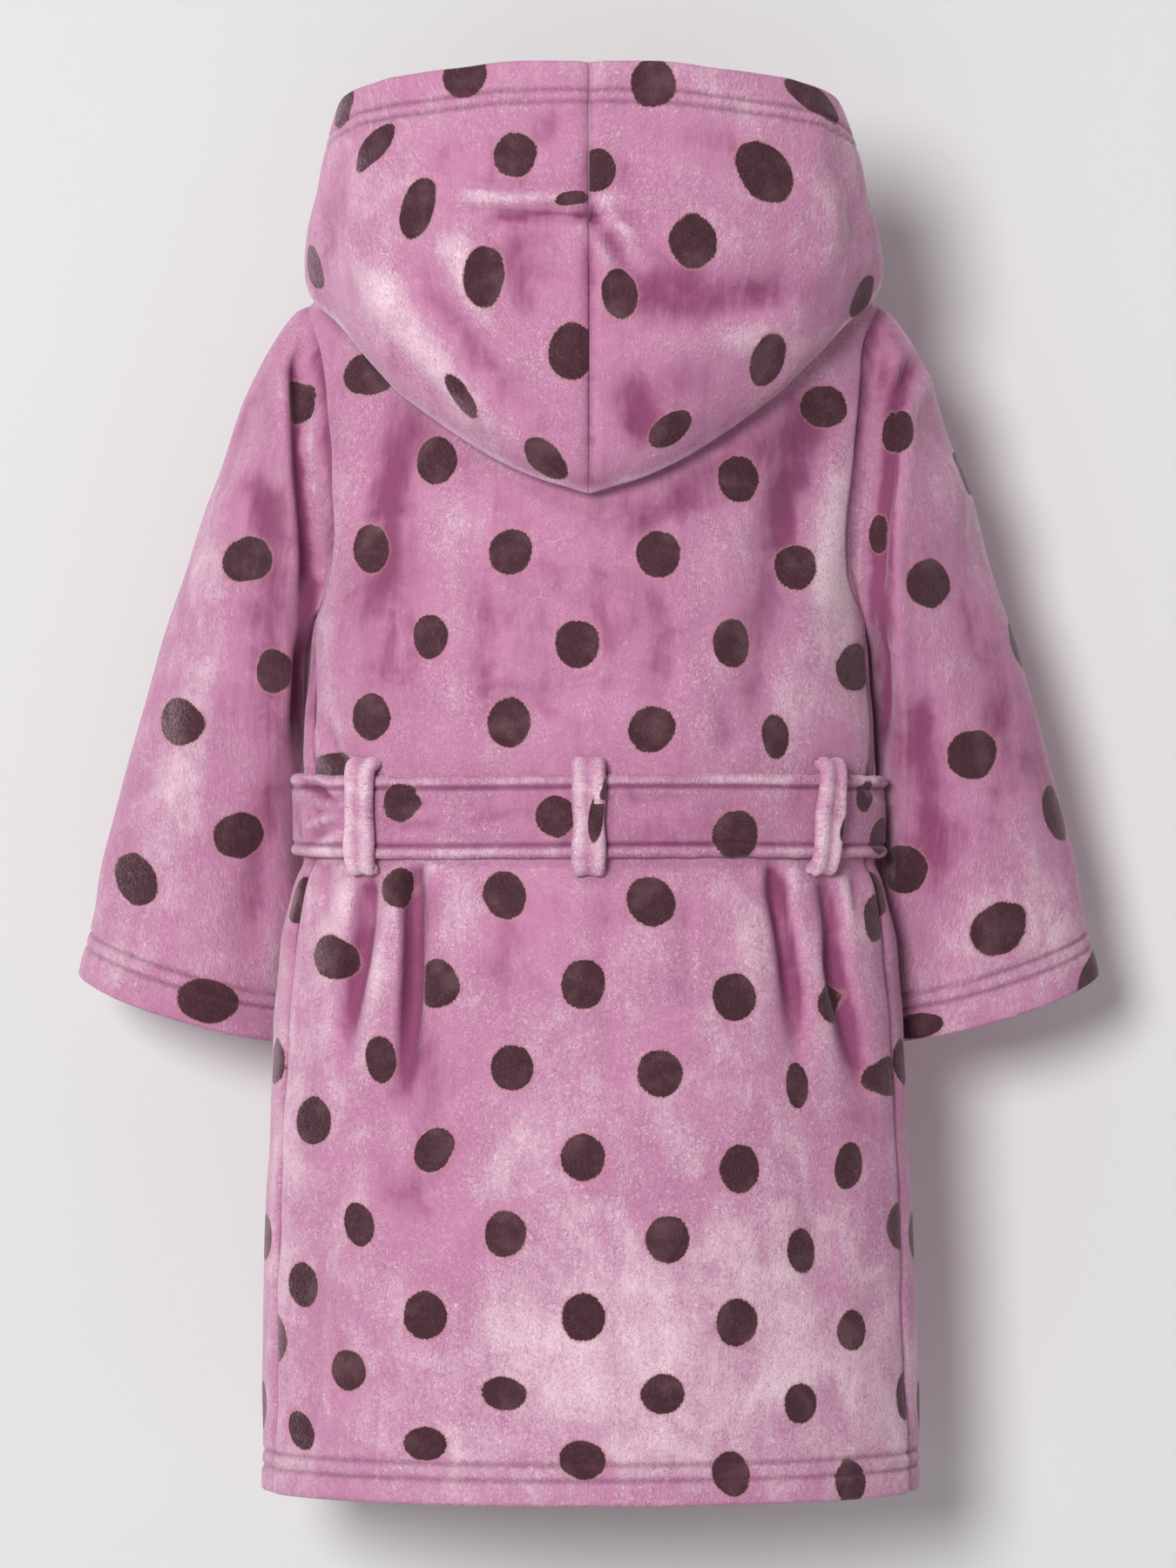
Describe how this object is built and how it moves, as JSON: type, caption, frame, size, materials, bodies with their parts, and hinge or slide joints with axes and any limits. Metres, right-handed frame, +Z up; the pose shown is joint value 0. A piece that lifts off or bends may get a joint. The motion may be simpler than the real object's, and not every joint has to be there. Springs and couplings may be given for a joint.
{
  "type": "child's hooded dressing gown",
  "caption": "Child's hooded wrap dressing gown in plush fleece, hollow as when worn, with its belt tied at the front through loops on the back.",
  "frame": {"origin": "in the neck opening at the height of the nape, where the wearer's neck and shoulders hold the gown", "axes": "+Z up along the gown's length, +Y the way the wearer faces, +X the wearer's right"},
  "size_m": [0.498, 0.2336, 0.6785],
  "materials": {
    "plush": "orchid pink flannel fleece with dark plum dots, soft brushed pile",
    "belt_plush": "the same fleece, doubled and stitched along its edges"
  },
  "bodies": {
    "root": {"back": "plush", "front_left": "plush", "front_right": "plush", "sleeve_left": "plush", "sleeve_right": "plush", "hood_left": "plush", "hood_right": "plush", "belt": "belt_plush", "belt_knot": "belt_plush", "belt_tail_left": "belt_plush", "belt_tail_right": "belt_plush", "belt_loop_left": "belt_plush", "belt_loop_centre": "belt_plush", "belt_loop_right": "belt_plush"}
  },
  "joints": []
}
